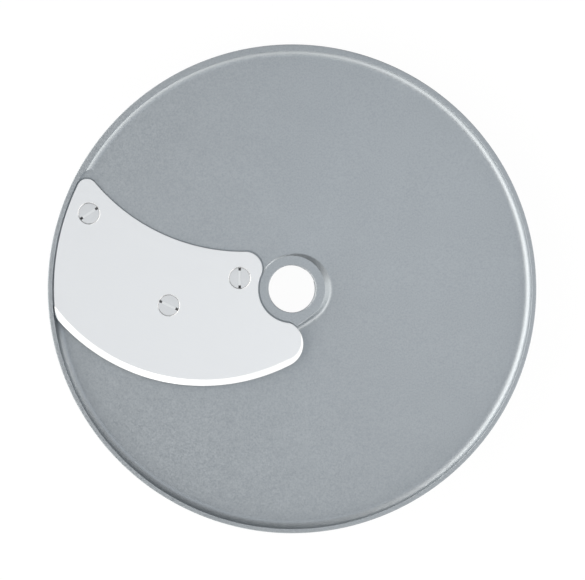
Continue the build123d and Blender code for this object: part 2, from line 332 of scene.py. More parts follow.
def faces(piece: bpy.types.Object) -> tuple[np.ndarray, np.ndarray]:
    """Middles and normals of a piece's faces.

    Args:
        piece: The piece.

    Returns:
        Middles in millimetres and unit normals, one row for each face.
    """
    count = len(piece.data.polygons)
    middle = np.empty(3 * count)
    facing = np.empty(3 * count)
    piece.data.polygons.foreach_get("center", middle)
    piece.data.polygons.foreach_get("normal", facing)
    return middle.reshape(-1, 3) / MM, facing.reshape(-1, 3)


def repaint(piece: bpy.types.Object, material: bpy.types.Material, chosen: np.ndarray) -> None:
    """Give some faces of a dressed piece another finish.

    Args:
        piece: The piece.
        material: The other finish.
        chosen: True for each face that takes it.
    """
    mesh = piece.data
    index = np.empty(len(mesh.polygons), dtype=np.int32)
    mesh.polygons.foreach_get("material_index", index)
    index[chosen] = len(mesh.materials)
    mesh.materials.append(material)
    mesh.polygons.foreach_set("material_index", index)


def linear(code: str) -> tuple[float, float, float, float]:
    """Linear colour of an sRGB hex value.

    Args:
        code: Colour such as "#A0A6AC".

    Returns:
        Red, green, blue and full alpha.
    """
    srgb = np.array([int(code[k:k + 2], 16) for k in (1, 3, 5)]) / 255
    light = np.where(srgb <= 0.04045, srgb / 12.92, ((srgb + 0.055) / 1.055) ** 2.4)
    return (*light.tolist(), 1.0)


def add_node(
    tree: bpy.types.NodeTree, kind: str, inputs: Optional[dict[Any, Any]] = None, **settings: Any
) -> bpy.types.Node:
    """Add a node with its settings and feed its inputs.

    Args:
        tree: Node tree of a material or the world.
        kind: Blender's name of the node type.
        inputs: Values or output sockets for input sockets, by name or number.
        settings: Properties of the node.

    Returns:
        The new node.
    """
    node = tree.nodes.new(kind)
    for key, value in settings.items():
        setattr(node, key, value)
    for key, value in (inputs or {}).items():
        if isinstance(value, bpy.types.NodeSocket):
            tree.links.new(value, node.inputs[key])
        else:
            node.inputs[key].default_value = value
    return node


def blank_material(name: str) -> bpy.types.Material:
    """New material with an empty node tree.

    Args:
        name: Name of the material.

    Returns:
        The material.
    """
    material = bpy.data.materials.new(name)
    material.use_nodes = True
    material.node_tree.nodes.clear()
    return material


def stand_off(
    thing: bpy.types.Object, aim: Vector, back: Vector, upward: Vector, distance: float
) -> None:
    """Stand a lamp or a camera off from a point, so that it looks there, and link it to the scene.

    Args:
        thing: The lamp or camera.
        aim: The point, in metres.
        back: Unit direction from the point to the thing.
        upward: Direction that its upper side leans to.
        distance: Distance from the point, in millimetres.
    """
    across = upward.cross(back).normalized()
    turn = Matrix((across, back.cross(across), back)).transposed().to_4x4()
    thing.matrix_world = Matrix.Translation(aim + back * distance * MM) @ turn
    bpy.context.scene.collection.objects.link(thing)


@dataclass(frozen=True)
class BareMetal:
    """Bare metal: two near colours, a range of roughness and a relief that follow one pattern."""

    name: str
    pale: str
    deep: str
    roughness_low: float
    roughness_high: float
    # Depth of the pattern in the surface, which stays flat at zero
    relief_depth: float = 0.0
    relief_strength: float = 0.5

    def start(self) -> tuple[bpy.types.Material, bpy.types.NodeSocket]:
        """Start the material.

        Returns:
            The material and the socket of its object coordinates.
        """
        material = blank_material(self.name)
        return material, add_node(material.node_tree, "ShaderNodeTexCoord").outputs["Object"]

    def shade(
        self, tree: bpy.types.NodeTree, share: bpy.types.NodeSocket, pattern: bpy.types.NodeSocket
    ) -> None:
        """Shade the metal and end its node tree.

        Args:
            tree: Node tree of the material.
            share: Share of the pale colour.
            pattern: Noise that the roughness and the relief follow.
        """
        colour = add_node(
            tree, "ShaderNodeMix",
            {0: share, 6: linear(self.deep), 7: linear(self.pale)}, data_type="RGBA",
        ).outputs[2]
        rough = add_node(
            tree, "ShaderNodeMapRange",
            {
                "Value": pattern, "From Min": NOISE_LOW, "From Max": NOISE_HIGH,
                "To Min": self.roughness_low, "To Max": self.roughness_high,
            },
        ).outputs["Result"]
        inputs = {"Base Color": colour, "Metallic": 1.0, "Roughness": rough}
        if self.relief_depth:
            inputs["Normal"] = add_node(
                tree, "ShaderNodeBump",
                {
                    "Height": pattern, "Strength": self.relief_strength,
                    "Distance": self.relief_depth * MM,
                },
            ).outputs["Normal"]
        metal = add_node(tree, "ShaderNodeBsdfPrincipled", inputs).outputs[0]
        add_node(tree, "ShaderNodeOutputMaterial", {"Surface": metal})


@dataclass(frozen=True)
class BlastedCasting(BareMetal):
    """Cast aluminium, bead-blasted: an even matte grey with a fine grain and no mirror image."""

    name: str = "cast_aluminium_bead_blasted"
    pale: str = "#AEB4B9"
    deep: str = "#969CA1"
    roughness_low: float = 0.42
    roughness_high: float = 0.56
    relief_depth: float = 0.012
    # The dimples of the beads are about 0.1 mm, drawn coarser here so that they show
    grain: float = 0.7
    grain_detail: float = 2.0
    grain_sharpness: float = 0.6
    grain_spread: float = 0.35
    # Faint clouds where the blasting dwelt longer
    cloud: float = 18.0
    cloud_detail: float = 3.0
    cloud_share: float = 0.15

    def make(self) -> bpy.types.Material:
        """Build the material.

        Returns:
            The material, patterned on object coordinates.
        """
        material, place = self.start()
        tree = material.node_tree
        grain = add_node(
            tree, "ShaderNodeTexNoise",
            {
                "Vector": place, "Scale": 1 / (self.grain * MM),
                "Detail": self.grain_detail, "Roughness": self.grain_sharpness,
            },
        ).outputs["Fac"]
        cloud = add_node(
            tree, "ShaderNodeTexNoise",
            {"Vector": place, "Scale": 1 / (self.cloud * MM), "Detail": self.cloud_detail},
        ).outputs["Fac"]
        blend = add_node(
            tree, "ShaderNodeMath", {0: cloud, 1: self.cloud_share, 2: grain}, operation="MULTIPLY_ADD"
        ).outputs[0]
        # Both noises lie round a half
        middle = (1 + self.cloud_share) / 2
        share = add_node(
            tree, "ShaderNodeMapRange",
            {
                "Value": blend,
                "From Min": middle - self.grain_spread, "From Max": middle + self.grain_spread,
            },
        ).outputs["Result"]
        self.shade(tree, share, grain)
        return material


@dataclass(frozen=True)
class GroundSteel(BareMetal):
    """Stainless steel, fine-ground: a pale satin face with faint straight lines."""

    name: str = "stainless_steel_fine_ground"
    pale: str = "#E7EAED"
    deep: str = "#E4E7EA"
    roughness_low: float = 0.31
    roughness_high: float = 0.35
    relief_depth: float = 0.0005
    relief_strength: float = 0.3
    # Grinding lines lie about 0.05 mm apart, drawn coarser so that they show
    line_pitch: float = 0.35
    line_length: float = 14.0
    line_angle: float = -18.0
    line_detail: float = 3.0

    def make(self) -> bpy.types.Material:
        """Build the material.

        Returns:
            The material, with its lines drawn on object coordinates.
        """
        material, place = self.start()
        tree = material.node_tree
        turned = add_node(
            tree, "ShaderNodeMapping",
            {"Vector": place, "Rotation": (0.0, 0.0, math.radians(-self.line_angle))},
        ).outputs["Vector"]
        along = 1 / (self.line_length * MM)
        across = 1 / (self.line_pitch * MM)
        drawn = add_node(
            tree, "ShaderNodeMapping", {"Vector": turned, "Scale": (along, across, across)}
        ).outputs["Vector"]
        lines = add_node(
            tree, "ShaderNodeTexNoise", {"Vector": drawn, "Scale": 1.0, "Detail": self.line_detail}
        ).outputs["Fac"]
        self.shade(tree, lines, lines)
        return material


@dataclass(frozen=True)
class TurnedSteel(BareMetal):
    """Stainless steel, turned: bright screw heads with a faint mottle from the tool."""

    name: str = "stainless_steel_turned"
    pale: str = "#D8DBDE"
    deep: str = "#CED1D4"
    roughness_low: float = 0.28
    roughness_high: float = 0.33
    # Tool marks are a few hundredths of a millimetre wide, drawn coarser so that they show
    mark: float = 0.5
    mark_detail: float = 2.0

    def make(self) -> bpy.types.Material:
        """Build the material.

        Returns:
            The material, patterned on object coordinates.
        """
        material, place = self.start()
        tree = material.node_tree
        marks = add_node(
            tree, "ShaderNodeTexNoise",
            {"Vector": place, "Scale": 1 / (self.mark * MM), "Detail": self.mark_detail},
        ).outputs["Fac"]
        self.shade(tree, marks, marks)
        return material


# The floor of a slot is milled a little smoother than the turned head, and its paler colour is a
# painted sheen
MILLED_SLOT_PAINTED_SHEEN = TurnedSteel("stainless_steel_milled_painted_sheen", "#E6E9EB", "#DFE2E4", 0.27, 0.32)
# The countersinks' mouths are cut last, with a sharp tool, and are smoother; their near-white colour
# is a painted highlight
CUT_MOUTH_PAINTED_HIGHLIGHT = TurnedSteel("stainless_steel_countersunk_painted_highlight", "#FAFBFC", "#F4F5F6", 0.2, 0.24)
# Under the heads the countersinks are left rough by the drill, and their dark colour is painted shade
DRILLED_HOLE_PAINTED_SHADE = TurnedSteel("stainless_steel_drilled_painted_shade", "#747678", "#626466", 0.48, 0.56)


@dataclass
class BladePlan:
    """Sickle plan of the blade: two arcs of almost one radius, a round tip, a heel and a notch."""

    edge_r: float = 80.8
    edge_out_angle: float = 187.0
    back_r: float = 81.2
    back_out_angle: float = 150.25
    end_r: float = 99.8
    # The outer end stands this much nearer the rim than the corners of the two arcs
    end_reach: float = 0.2
    notch_r: float = 14.4
    tip_r: float = 9.9
    tip_reach: float = 9.33
    tip_angle: float = 257.0
    tip_corner_r: float = 4.0
    heel_r: float = 7.1
    heel_angle: float = 156.7
    upper_corner_r: float = 4.3
    lower_corner_r: float = 6.0
    # Places of the screws: in from the outer end, out from the notch and in from the edge
    outer_screw_in: float = 8.9
    outer_screw_angle: float = 159.7
    inner_screw_out: float = 8.15
    inner_screw_angle: float = 168.5
    edge_screw_in: float = 31.6
    edge_screw_angle: float = -107.0
    tip: np.ndarray = field(init=False)
    heel: np.ndarray = field(init=False)
    edge: np.ndarray = field(init=False)
    back: np.ndarray = field(init=False)
    screws: list[np.ndarray] = field(init=False)

    def __post_init__(self) -> None:
        """Work out the centres of the arcs and the places of the screws."""
        self.tip = polar(self.notch_r + self.tip_reach, self.tip_angle)
        self.heel = polar(self.notch_r + self.heel_r, self.heel_angle)
        edge_out = polar(self.end_r, self.edge_out_angle)
        back_out = polar(self.end_r, self.back_out_angle)
        self.edge = meeting(self.tip, self.edge_r - self.tip_r, edge_out, self.edge_r, -1)
        self.back = meeting(self.heel, self.back_r + self.heel_r, back_out, self.back_r, -1)
        self.screws = [
            polar(self.end_r - self.outer_screw_in, self.outer_screw_angle),
            polar(self.notch_r + self.inner_screw_out, self.inner_screw_angle),
            polar(self.edge_r - self.edge_screw_in, self.edge_screw_angle, self.edge),
        ]

    def outline(self, grow: float = 0.0, rim_grow: float = 0.0, notch_grow: float = 0.0) -> np.ndarray:
        """Closed plan, grown by a clearance all round, toward the rim and round the notch.

        Every arc keeps its centre while its radius grows or shrinks, and the corners are arcs that
        touch their two neighbours.

        Args:
            grow: Clearance along the edge, the back and the tip.
            rim_grow: Clearance at the outer end.
            notch_grow: Clearance round the notch.

        Returns:
            Points of the plan, counter-clockwise.
        """
        edge_r = self.edge_r + grow
        back_r = self.back_r - grow
        end_r = self.end_r + self.end_reach + rim_grow
        notch_r = self.notch_r - notch_grow
        tip_r = self.tip_r + grow
        upper_r = self.upper_corner_r + grow
        lower_r = self.lower_corner_r + grow
        corner_r = self.tip_corner_r + grow
        upper = meeting(HUB, end_r - upper_r, self.back, back_r + upper_r, 1)
        lower = meeting(HUB, end_r - lower_r, self.edge, edge_r - lower_r, 1)
        corner = meeting(HUB, notch_r + corner_r, self.tip, tip_r - corner_r, 1)
        upper_out = toward(HUB, upper, end_r)
        lower_out = toward(HUB, lower, end_r)
        edge_from = toward(self.edge, lower, edge_r)
        edge_to = toward(self.edge, self.tip, edge_r)
        tip_to = toward(self.tip, corner, tip_r)
        notch_from = toward(HUB, corner, notch_r)
        notch_to = toward(HUB, self.heel, notch_r)
        back_from = toward(self.back, self.heel, back_r)
        back_to = toward(self.back, upper, back_r)
        return np.concatenate([
            arc(HUB, upper_out, lower_out, 1),
            arc(lower, lower_out, edge_from, 1),
            arc(self.edge, edge_from, edge_to, 1),
            arc(self.tip, edge_to, tip_to, 1),
            arc(corner, tip_to, notch_from, 1),
            arc(HUB, notch_from, notch_to, -1),
            arc(self.heel, notch_to, back_from, 1),
            arc(self.back, back_from, back_to, -1),
            arc(upper, back_to, upper_out, 1),
        ])


@dataclass
class DiscBody:
    """Cast body with a raised rim, a climbing plate, a collar round the bore and the blade's land."""

    plan: BladePlan
    radius: float = 102.5
    height: float = 16.0
    rim_r: float = 100.7
    rim_fillet: float = 3.5
    # The outer edge of the rim is blasted round, smaller than the chamfer of the CAD part
    rim_round: float = 0.22
    rim_break: float = 0.12
    skirt_r: float = 99.9
    foot_chamfer: float = 0.5
    plate_low: float = 11.5
    plate_high: float = 15.0
    plate_t: float = 4.0
    ramp_start: float = 306.0
    ramp_end: float = 455.0
    # The ramp's two ends are eased over this angle, so that no crease shows on the plate
    ramp_ease: float = 44.0
    # The step from the high to the low plate lies in the blade's land, where nothing of it shows
    hidden_step: float = 160.0
    # The sections on its two sides stand these angles before and after it
    step_before: float = 0.01
    step_after: float = 0.02
    # Points across the plate as shares of its width, closer at both ends, where the shading bends
    plate_shares: tuple[float, ...] = (0.006, 0.05, 0.25, 0.5, 0.75, 0.93, 0.985)
    bore_r: float = 9.95
    bore_chamfer: float = 0.25
    collar_r: float = 14.0
    collar_top: float = 15.4
    boss_r: float = 18.0
    under_slope: float = 3.0
    # Points this far from the corners of the underside keep it flat between them
    under_hold: float = 1.0
    drive_slot_w: float = 6.0
    drive_slot_h: float = 6.0
    drive_slot_angle: float = 36.0
    seat_z: float = 14.3
    seat_gap: float = 0.35
    seat_rim_gap: float = 0.6
    seat_notch_gap: float = 0.65
    land_back: float = 11.8
    land_bottom: float = 5.0
    land_margin: float = 2.5
    land_rim_margin: float = 0.9
    # How far the land goes past the hidden step, into the collar's wall and down under the low plate
    land_past: float = 1.5
    land_in: float = 0.5
    land_sink: float = 2.5
    # The web under the land stops this far under the low plate
    web_below: float = 0.2
    web_turns: int = 240
    # Collar wall: angle, width in plan, radius at its foot and chamfer at its top
    fairings: tuple[tuple[float, float, float, float], ...] = (
        (304.0, 0.3, 0.2, 0.25),
        (306.0, 3.0, 2.4, 0.25),
        (330.0, 3.25, 2.4, 0.25),
        (350.0, 3.35, 2.3, 0.25),
        (370.0, 3.25, 2.1, 0.25),
        (405.0, 2.45, 1.5, 0.2),
        (430.0, 1.6, 1.0, 0.16),
        (450.0, 0.8, 0.5, 0.12),
        (458.0, 0.5, 0.3, 0.12),
    )
    fairing_end: tuple[float, float] = (2.2, 2.1)
    fairing_l: float = 12.0
    # The land's straight side runs this far into the collar, past its end, inwards and down
    side_lap: float = 0.3
    side_past: float = 5.0
    side_in: float = 2.5
    side_sink: float = 1.5
    side_rings: int = 5
    lip_back: float = 0.6
    lip_t: float = 0.9
    lip_slope: float = 4.5
    lip_end_angle: float = 5.5
    lip_rings: int = 160
    throat_web: float = 4.7
    throat_corner_r: float = 3.0
    # Ledge that carries the seat on along the rim, from the land to the corner of the cutting edge
    ledge_from: float = 174.0
    ledge_to: float = 184.0
    ledge_w: float = 2.0
    ledge_drop: float = 0.1
    relief_r: float = 5.0
    relief_wall_r: float = 100.45
    relief_from: float = 151.9
    relief_to: float = 158.0
    # The relief stops this far above the high plate, so that no two faces share one level
    relief_over: float = 0.002
    # Solids that are joined or cut run this far into one another
    overlap: float = 1.0
    steps: int = 480
    crease: float = 24.0

    @property
    def land_r(self) -> float:
        """Radius of the land's front wall about the centre of the cutting edge."""
        return self.plan.edge_r - self.land_back

    @property
    def lip_r(self) -> float:
        """Radius of the plate's lip about the centre of the cutting edge."""
        return self.plan.edge_r - self.lip_back

    def side_ways(self) -> tuple[np.ndarray, np.ndarray]:
        """Directions out of the land's straight side and along it."""
        out = polar(1.0, self.ramp_start)
        return out, np.array([out[1], -out[0]])

    def eased(self, angle: np.ndarray, corner: float) -> np.ndarray:
        """Angle past a corner of the ramp: zero before it, with a parabola over the easing.

        Args:
            angle: Angles from the hidden step on, in degrees.
            corner: Angle of the corner.

        Returns:
            Eased angles past the corner.
        """
        past = angle - corner
        near = np.clip(past / self.ramp_ease + 0.5, 0, 1)
        return np.where(near < 1, near**2 * self.ramp_ease / 2, past)

    def plate(self, angle: np.ndarray) -> np.ndarray:
        """Height of the plate: low, then an even climb over the ramp, then high.

        The climb is the difference of the eased angles past the ramp's two corners.

        Args:
            angle: Angles from the hidden step on, in degrees.

        Returns:
            Heights of the plate's top.
        """
        climbed = self.eased(angle, self.ramp_start) - self.eased(angle, self.ramp_end)
        share = climbed / (self.ramp_end - self.ramp_start)
        return self.plate_low + share * (self.plate_high - self.plate_low)

    def fairing(self, angle: np.ndarray) -> tuple[np.ndarray, np.ndarray, np.ndarray]:
        """Collar wall as its width in plan, the radius at its foot and the chamfer at its top.

        The wall is widest a third of the way up the ramp and narrows as the plate climbs.

        Args:
            angle: Angles from the hidden step on, in degrees.

        Returns:
            Widths, radii and chamfers.
        """
        stations, *shapes = np.array(self.fairings).T
        width, radius, chamfer = (np.interp(angle, stations, shape) for shape in shapes)
        return width, radius, chamfer

    def rim_side(self, plate: np.ndarray, count: int = 22) -> np.ndarray:
        """Inner side of the rim, from its broken top edge down the wall and round to the plate.

        A point runs down a straight wall and then a quarter of a circle that ends level on the
        plate. Where the plate is so high that the circle is cut by the rim's top, the wall is gone.

        Args:
            plate: Heights of the plate, one for each angle.
            count: Points down the side.

        Returns:
            Radii and heights for each angle and point.
        """
        top = self.height - self.rim_break
        centre = plate + self.rim_fillet
        wall = np.maximum(top - centre, 0)
        lean = np.arcsin(np.clip((top - centre) / self.rim_fillet, -1, 0))
        bend = (math.pi / 2 + lean) * self.rim_fillet
        run = np.linspace(0, 1, count) * (wall + bend)[:, None]
        past = np.maximum(run - wall[:, None], 0)
        turn = lean[:, None] - past / self.rim_fillet
        r = self.rim_r - self.rim_fillet * (1 - np.cos(turn))
        down = np.minimum(run, wall[:, None])
        on_wall = top - down
        on_bend = centre[:, None] + self.rim_fillet * np.sin(turn)
        z = np.where(run < wall[:, None], on_wall, on_bend)
        return np.stack([r, z], axis=-1)

    def collar_side(
        self,
        plate: np.ndarray,
        width: np.ndarray,
        radius: np.ndarray,
        chamfer: np.ndarray,
        count: int = 10,
    ) -> np.ndarray:
        """Side of the collar, from the plate round the foot, up the wall and over the top chamfer.

        The foot is an arc that starts level on the plate. The wall is the tangent from the lower
        end of the chamfer to that arc.

        Args:
            plate: Heights of the plate, one for each section.
            width: Widths of the wall in plan.
            radius: Radii of the foot.
            chamfer: Chamfers of the top edge.
            count: Points round the foot.

        Returns:
            Radii and heights for each section and point.
        """
        foot = self.collar_r + width
        centre_z = plate + radius
        wall_z = self.collar_top - chamfer
        away = np.hypot(foot - self.collar_r, centre_z - wall_z)
        to_edge = np.arctan2(wall_z - centre_z, self.collar_r - foot)
        touch = (to_edge + np.arccos(np.clip(radius / away, -1, 1))) % (2 * math.pi)
        down = 1.5 * math.pi
        turn = down + (touch - down)[:, None] * np.linspace(0, 1, count)
        bend_r = foot[:, None] + radius[:, None] * np.cos(turn)
        bend_z = centre_z[:, None] + radius[:, None] * np.sin(turn)
        return np.concatenate([
            np.stack([bend_r, bend_z], axis=-1),
            station(self.collar_r, wall_z),
            station(self.collar_r - chamfer, self.collar_top),
        ], axis=1)

    def casting(self) -> bpy.types.Object:
        """Closed section carried once round the shaft axis, its plate climbing with the angle.

        Returns:
            The casting without the blade's land and seat.
        """
        start = self.hidden_step
        angle = np.concatenate([
            np.linspace(start, start + 360, self.steps, endpoint=False) + self.step_after,
            [start + 360 - self.step_before, self.fairings[0][0], self.ramp_start, self.ramp_end],
        ])
        angle = np.unique(angle)
        plate = self.plate(angle)
        count = len(angle)
        rim = self.rim_side(plate)
        collar = self.collar_side(plate, *self.fairing(angle))
        outer = self.rim_r - self.rim_fillet
        floor_r = outer + (collar[:, :1, 0] - outer) * np.array(self.plate_shares)
        floor = np.stack(np.broadcast_arrays(floor_r, plate[:, None]), axis=-1)
        ceiling = plate - self.plate_t
        spring = ceiling - self.under_slope
        fixed_top = np.concatenate([
            [
                [self.radius - self.foot_chamfer, 0.0],
                [self.radius, self.foot_chamfer],
                [self.radius, self.height / 2],
            ],
            np.column_stack([
                self.radius - self.rim_round * (1 - np.cos(QUARTER)),
                self.height - self.rim_round * (1 - np.sin(QUARTER)),
            ]),
        ])
        fixed_bore = np.array([
            [self.bore_r + self.bore_chamfer, self.collar_top],
            [self.bore_r, self.collar_top - self.bore_chamfer],
            [self.bore_r, self.bore_chamfer],
            [self.bore_r + self.bore_chamfer, 0.0],
            [self.boss_r - self.foot_chamfer, 0.0],
            [self.boss_r, self.foot_chamfer],
        ])
        under_in = self.boss_r + self.under_slope
        under_out = self.skirt_r - self.under_slope
        fixed_foot = np.array([
            [self.skirt_r, self.foot_chamfer],
            [self.skirt_r + self.foot_chamfer, 0.0],
        ])
        section = np.concatenate([
            np.broadcast_to(fixed_top, (count, *fixed_top.shape)),
            station(rim[:, 0, 0] + self.rim_break, self.height),
            rim,
            floor,
            collar,
            np.broadcast_to(fixed_bore, (count, *fixed_bore.shape)),
            station(self.boss_r, spring),
            station(under_in, ceiling),
            station(under_in + self.under_hold, ceiling),
            station(under_out - self.under_hold, ceiling),
            station(under_out, ceiling),
            station(self.skirt_r, spring),
            np.broadcast_to(fixed_foot, (count, *fixed_foot.shape)),
        ], axis=1)
        plan = polar(section[..., 0], angle[:, None])
        return loft("disc_casting", raised(plan, section[..., 1]), closed=True)

    def land(self) -> bpy.types.Object:
        """Raised land under the blade: a prism between the collar, the rim and the throat.

        Returns:
            The land as a closed solid.
        """
        back_angle = self.hidden_step - self.land_past
        inner_r = (self.bore_r + self.collar_r) / 2
        outer_r = (self.rim_r + self.radius) / 2
        wall_r = self.land_r + self.overlap
        side = self.collar_r - self.land_in
        centre = self.plan.edge
        out, along = self.side_ways()
        reach = math.sqrt(wall_r**2 - (side - float(centre @ out)) ** 2)
        corner = side * out + (float(centre @ along) + reach) * along
        rim_end = meeting(HUB, outer_r, centre, wall_r, 1)
        outline = np.concatenate([
            arc(HUB, polar(inner_r, back_angle), polar(inner_r, self.ramp_start), 1),
            [polar(inner_r, self.ramp_start), side * out],
            arc(centre, corner, rim_end, -1),
            arc(HUB, rim_end, polar(outer_r, back_angle), -1),
            [polar(outer_r, back_angle)],
        ])
        return prism("land", outline, self.plate_low - self.land_sink, self.collar_top)

    def land_side(self) -> bpy.types.Object:
        """Straight side of the land: the collar's wall carried along the line that touches the collar.

        The wall narrows evenly from the collar toward the blade's tip.

        Returns:
            The side as a closed solid.
        """
        along = np.concatenate([
            [-self.side_lap],
            np.linspace(0, self.fairing_l, self.side_rings),
            [self.fairing_l + self.side_past],
        ])
        count = len(along)
        _, *first, chamfer = self.fairings[1]
        width, radius = (
            np.interp(along, [0, self.fairing_l], ends) for ends in zip(first, self.fairing_end)
        )
        plate = np.full(count, self.plate_low)
        wall = self.collar_side(plate, width, radius, np.full(count, chamfer))
        inner = np.full(count, self.collar_r - self.side_in)
        base = self.plate_low - self.side_sink
        section = np.concatenate([
            station(wall[:, 0, 0], base),
            wall,
            station(inner, self.collar_top),
            station(inner, base),
        ], axis=1)
        out, way = self.side_ways()
        plan = section[..., :1] * out + along[:, None, None] * way
        return loft("land_side", raised(plan, section[..., 1]))

    def under_land(self) -> bpy.types.Object:
        """Thick web under the land that holds the threads of the screws.

        Returns:
            The web as a closed solid.
        """
        outline = self.plan.outline(self.land_margin, self.land_rim_margin, self.land_margin)
        web = prism("under_land", outline, self.land_bottom, self.plate_low - self.web_below)
        wall_r = self.land_r + self.overlap
        section = np.array([[wall_r, 0.0], [wall_r, self.height]])
        machine(web, [(Work.KEEP, lathe("land_wall", section, self.plan.edge, self.web_turns))])
        return web

    def ledge(self) -> bpy.types.Object:
        """Narrow ledge on the wall of the rim, under the outer end of the blade.

        Returns:
            The ledge as a closed solid.
        """
        outer = (self.rim_r + self.radius) / 2
        inner = self.rim_r - self.ledge_w
        outline = np.concatenate([
            arc(HUB, polar(outer, self.ledge_from), polar(outer, self.ledge_to), 1),
            [polar(outer, self.ledge_to)],
            arc(HUB, polar(inner, self.ledge_to), polar(inner, self.ledge_from), -1),
            [polar(inner, self.ledge_from)],
        ])
        return prism("ledge", outline, self.plate_low, self.seat_z - self.ledge_drop)

    def seat(self) -> bpy.types.Object:
        """Recess of the blade, a clearance larger than the blade all round.

        Returns:
            The space of the seat.
        """
        outline = self.plan.outline(self.seat_gap, self.seat_rim_gap, self.seat_notch_gap)
        return prism("seat", outline, self.seat_z, self.height + CLEAR)

    def relief(self) -> bpy.types.Object:
        """Round-ended cut that takes the rim fillet off beyond the blade's outer tip.

        Returns:
            The space of the cut.
        """
        wall = self.relief_wall_r
        inner = wall - 2 * self.relief_r
        outline = np.concatenate([
            arc(HUB, polar(wall, self.relief_from), polar(wall, self.relief_to), 1),
            [polar(wall, self.relief_to)],
            arc(HUB, polar(inner, self.relief_to), polar(inner, self.relief_from), -1),
            arc(
                polar(wall - self.relief_r, self.relief_from),
                polar(inner, self.relief_from), polar(wall, self.relief_from), 1,
            ),
        ])
        return prism("relief", outline, self.plate_high + self.relief_over, self.height + CLEAR)

    def throat(self) -> bpy.types.Object:
        """Opening that the slices fall through, between the land's wall and the plate's lip.

        Returns:
            The space of the throat.
        """
        centre = self.plan.edge
        tip = self.plan.tip
        end = self.rim_r - self.throat_web
        corner_r = self.throat_corner_r
        cap = toward(centre, tip, (self.land_r + self.lip_r) / 2)
        back_in = toward(centre, tip, self.land_r)
        lip_in = toward(centre, tip, self.lip_r)
        lip_c = meeting(HUB, end - corner_r, centre, self.lip_r - corner_r, 1)
        back_c = meeting(HUB, end - corner_r, centre, self.land_r + corner_r, 1)
        lip_out = toward(centre, lip_c, self.lip_r)
        end_from = toward(HUB, lip_c, end)
        end_to = toward(HUB, back_c, end)
        back_out = toward(centre, back_c, self.land_r)
        outline = np.concatenate([
            arc(centre, lip_in, lip_out, -1),
            arc(lip_c, lip_out, end_from, -1),
            arc(HUB, end_from, end_to, -1),
            arc(back_c, end_to, back_out, -1),
            arc(centre, back_out, back_in, 1),
            arc(cap, back_in, lip_in, -1),
        ])
        return prism("throat", outline, -CLEAR, self.height + CLEAR)

    def lip_space(self) -> bpy.types.Object:
        """Wedge cut from under the plate's lip, carried along the lip.

        Returns:
            The space under the lip.
        """
        centre = self.plan.edge
        floor = self.plate_low - self.plate_t - self.overlap
        drop = self.plate_low - self.lip_t
        run = self.lip_slope * (drop - floor) / (self.plate_t - self.lip_t)
        section = np.array([
            [self.lip_r - self.overlap, drop],
            [self.lip_r, drop],
            [self.lip_r + run, floor],
            [self.lip_r - self.overlap, floor],
        ])
        out = meeting(HUB, self.rim_r - self.throat_web, centre, self.lip_r, 1)
        start = heading(centre, out) + self.lip_end_angle
        end = heading(centre, self.plan.tip) - self.lip_end_angle
        angle = start + (end - start) % 360 * np.linspace(0, 1, self.lip_rings)
        plan = polar(section[None, :, 0], angle[:, None], centre)
        return loft("lip_space", raised(plan, section[None, :, 1]))

    def drive_slot(self) -> bpy.types.Object:
        """Slot across the underside of the boss for the pin of the shaft.

        Returns:
            The space of the slot.
        """
        length = 2 * (self.boss_r + self.overlap)
        outline = bar(length, self.drive_slot_w, self.drive_slot_angle)
        return prism("drive_slot", outline, -CLEAR, self.drive_slot_h)

    def build(self, screw: "BladeScrews", finish: BlastedCasting) -> bpy.types.Object:
        """Cast, join and machine the body, and give it its finish.

        Args:
            screw: Screws whose holes go through the land.
            finish: Finish of the casting.

        Returns:
            The finished body.
        """
        body = self.casting()
        machine(body, [
            (Work.JOIN, self.land()),
            (Work.JOIN, self.land_side()),
            (Work.JOIN, self.under_land()),
            (Work.JOIN, self.ledge()),
            (Work.CUT, self.seat()),
            (Work.CUT, self.relief()),
            (Work.CUT, self.throat()),
            (Work.CUT, self.lip_space()),
            (Work.CUT, self.drive_slot()),
            *((Work.CUT, screw.hole(place)) for place in self.plan.screws),
        ])
        body.name = "cast_body"
        smooth(body, self.crease)
        dress(body, finish.make(), "disc_body")
        return body


